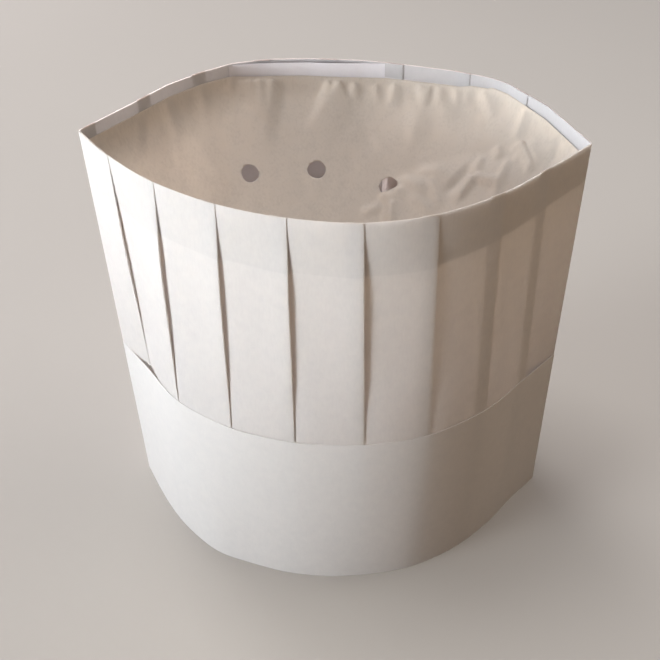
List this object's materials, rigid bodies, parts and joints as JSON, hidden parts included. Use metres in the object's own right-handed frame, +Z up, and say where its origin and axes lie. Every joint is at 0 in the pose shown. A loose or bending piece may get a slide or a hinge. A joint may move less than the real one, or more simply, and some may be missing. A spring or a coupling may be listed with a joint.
{
  "type": "chef toque",
  "caption": "Flat-folding pleated paper chef toque, open on its headband, with knife-pleated wall, smooth wrap-round headband and a vented tissue crown inside the rim.",
  "frame": {"origin": "on the table plane, at the centre of the hat's footprint", "axes": "+Z up from the headband to the rim, +X along the line from the left side crease to the right one, +Y towards the back wall, -Y towards the front wall"},
  "size_m": [0.2496, 0.1576, 0.24],
  "materials": {
    "pleated_paper": "matt uncoated white paper, knife-pleated",
    "headband_paper": "matt smooth white paper strip",
    "lap_paper": "matt white paper, glued lap",
    "crown_tissue": "thin warm white tissue, creased, translucent"
  },
  "bodies": {
    "back_1": {"back_pleat_panel_1": "pleated_paper", "back_headband_1": "headband_paper"},
    "back_2": {"back_pleat_panel_2": "pleated_paper", "back_headband_2": "headband_paper"},
    "back_3": {"back_pleat_panel_3": "pleated_paper", "back_headband_3": "headband_paper"},
    "back_4": {"back_pleat_panel_4": "pleated_paper", "back_headband_4": "headband_paper", "headband_end_tab": "headband_paper", "closing_lap_1": "lap_paper"},
    "back_5": {"back_pleat_panel_5": "pleated_paper", "back_headband_5": "headband_paper", "closing_lap_2": "lap_paper"},
    "back_6": {"back_pleat_panel_6": "pleated_paper", "back_headband_6": "headband_paper", "closing_lap_3": "lap_paper"},
    "back_7": {"back_pleat_panel_7": "pleated_paper", "back_headband_7": "headband_paper"},
    "back_8": {"back_pleat_panel_8": "pleated_paper", "back_headband_8": "headband_paper"},
    "back_9": {"back_pleat_panel_9": "pleated_paper", "back_headband_9": "headband_paper"},
    "front_1": {"front_pleat_panel_1": "pleated_paper", "front_headband_1": "headband_paper"},
    "front_2": {"front_pleat_panel_2": "pleated_paper", "front_headband_2": "headband_paper"},
    "front_3": {"front_pleat_panel_3": "pleated_paper", "front_headband_3": "headband_paper"},
    "front_4": {"front_pleat_panel_4": "pleated_paper", "front_headband_4": "headband_paper"},
    "front_5": {"front_pleat_panel_5": "pleated_paper", "front_headband_5": "headband_paper"},
    "front_6": {"front_pleat_panel_6": "pleated_paper", "front_headband_6": "headband_paper"},
    "front_7": {"front_pleat_panel_7": "pleated_paper", "front_headband_7": "headband_paper"},
    "front_8": {"front_pleat_panel_8": "pleated_paper", "front_headband_8": "headband_paper"},
    "front_9": {"front_pleat_panel_9": "pleated_paper", "front_headband_9": "headband_paper"},
    "crown_back": {"crown_back_leaf": "crown_tissue"},
    "crown_front": {"crown_front_leaf": "crown_tissue"}
  },
  "joints": [
    {"name": "front_fold_5", "type": "hinge", "parent": "front_5", "child": "front_6", "pos_m": [0.00699, -0.07528, 0], "axis": [0, 0, -1], "range_deg": [0, 15.86]},
    {"name": "front_fold_6", "type": "hinge", "parent": "front_6", "child": "front_7", "pos_m": [0.04064, -0.06813, 0], "axis": [0, 0, -1], "range_deg": [0, 15.12]},
    {"name": "front_fold_7", "type": "hinge", "parent": "front_7", "child": "front_8", "pos_m": [0.07126, -0.05245, 0], "axis": [0, 0, -1], "range_deg": [0, 13.66]},
    {"name": "front_fold_8", "type": "hinge", "parent": "front_8", "child": "front_9", "pos_m": [0.09731, -0.02999, 0], "axis": [0, 0, -1], "range_deg": [0, 12.18]},
    {"name": "right_side_crease", "type": "hinge", "parent": "front_9", "child": "back_1", "pos_m": [0.12093, 0.0013, 0], "axis": [0, 0, 1], "range_deg": [0, 106.35]},
    {"name": "back_fold_1", "type": "hinge", "parent": "back_1", "child": "back_2", "pos_m": [0.09364, 0.04283, 0], "axis": [0, 0, -1], "range_deg": [0, 23.18]},
    {"name": "back_fold_2", "type": "hinge", "parent": "back_2", "child": "back_3", "pos_m": [0.06495, 0.06182, 0], "axis": [0, 0, -1], "range_deg": [0, 15.58]},
    {"name": "back_fold_3", "type": "hinge", "parent": "back_3", "child": "back_4", "pos_m": [0.03222, 0.07241, 0], "axis": [0, 0, -1], "range_deg": [0, 13.66]},
    {"name": "front_fold_4", "type": "hinge", "parent": "front_5", "child": "front_4", "pos_m": [-0.02734, -0.07295, 0], "axis": [0, 0, 1], "range_deg": [0, 15.9]},
    {"name": "front_fold_3", "type": "hinge", "parent": "front_4", "child": "front_3", "pos_m": [-0.05971, -0.06132, 0], "axis": [0, 0, 1], "range_deg": [0, 15.21]},
    {"name": "front_fold_2", "type": "hinge", "parent": "front_3", "child": "front_2", "pos_m": [-0.08789, -0.0416, 0], "axis": [0, 0, 1], "range_deg": [0, 13.82]},
    {"name": "front_fold_1", "type": "hinge", "parent": "front_2", "child": "front_1", "pos_m": [-0.11055, -0.01571, 0], "axis": [0, 0, 1], "range_deg": [0, 9.46]},
    {"name": "left_side_crease", "type": "hinge", "parent": "front_1", "child": "back_9", "pos_m": [-0.12107, 0.00129, 0], "axis": [0, 0, -1], "range_deg": [0, 122.89]},
    {"name": "back_fold_8", "type": "hinge", "parent": "back_9", "child": "back_8", "pos_m": [-0.117, 0.00987, 0], "axis": [0, 0, 1], "range_deg": [0, 12.27]},
    {"name": "back_fold_7", "type": "hinge", "parent": "back_8", "child": "back_7", "pos_m": [-0.096, 0.03711, 0], "axis": [0, 0, 1], "range_deg": [0, 16.56]},
    {"name": "back_fold_6", "type": "hinge", "parent": "back_7", "child": "back_6", "pos_m": [-0.0681, 0.05723, 0], "axis": [0, 0, 1], "range_deg": [0, 14.26]},
    {"name": "back_fold_5", "type": "hinge", "parent": "back_6", "child": "back_5", "pos_m": [-0.0361, 0.06986, 0], "axis": [0, 0, 1], "range_deg": [0, 13]},
    {"name": "crown_back_hinge", "type": "hinge", "parent": "back_4", "child": "crown_back", "pos_m": [0.03224, 0.07266, 0.222], "axis": [0.9972, -0.0745, 0], "range_deg": [0, 50]},
    {"name": "crown_front_hinge", "type": "hinge", "parent": "front_5", "child": "crown_front", "pos_m": [-0.02735, -0.0732, 0.222], "axis": [-0.9977, 0.0675, 0], "range_deg": [0, 50]}
  ],
  "couplings": [
    {"joint": "front_fold_5", "follows": "right_side_crease", "ratio": 0.14466},
    {"joint": "front_fold_6", "follows": "right_side_crease", "ratio": 0.13791},
    {"joint": "front_fold_7", "follows": "right_side_crease", "ratio": 0.12459},
    {"joint": "front_fold_8", "follows": "right_side_crease", "ratio": 0.11109},
    {"joint": "back_fold_1", "follows": "right_side_crease", "ratio": 0.21142},
    {"joint": "back_fold_2", "follows": "right_side_crease", "ratio": 0.1421},
    {"joint": "back_fold_3", "follows": "right_side_crease", "ratio": 0.12459},
    {"joint": "front_fold_4", "follows": "right_side_crease", "ratio": 0.14502},
    {"joint": "front_fold_3", "follows": "right_side_crease", "ratio": 0.13873},
    {"joint": "front_fold_2", "follows": "right_side_crease", "ratio": 0.12605},
    {"joint": "front_fold_1", "follows": "right_side_crease", "ratio": 0.086282},
    {"joint": "left_side_crease", "follows": "right_side_crease", "ratio": 1.1209},
    {"joint": "back_fold_8", "follows": "right_side_crease", "ratio": 0.11191},
    {"joint": "back_fold_7", "follows": "right_side_crease", "ratio": 0.15104},
    {"joint": "back_fold_6", "follows": "right_side_crease", "ratio": 0.13006},
    {"joint": "back_fold_5", "follows": "right_side_crease", "ratio": 0.11857},
    {"joint": "crown_back_hinge", "follows": "right_side_crease", "ratio": 0.45604},
    {"joint": "crown_front_hinge", "follows": "right_side_crease", "ratio": 0.45604}
  ]
}
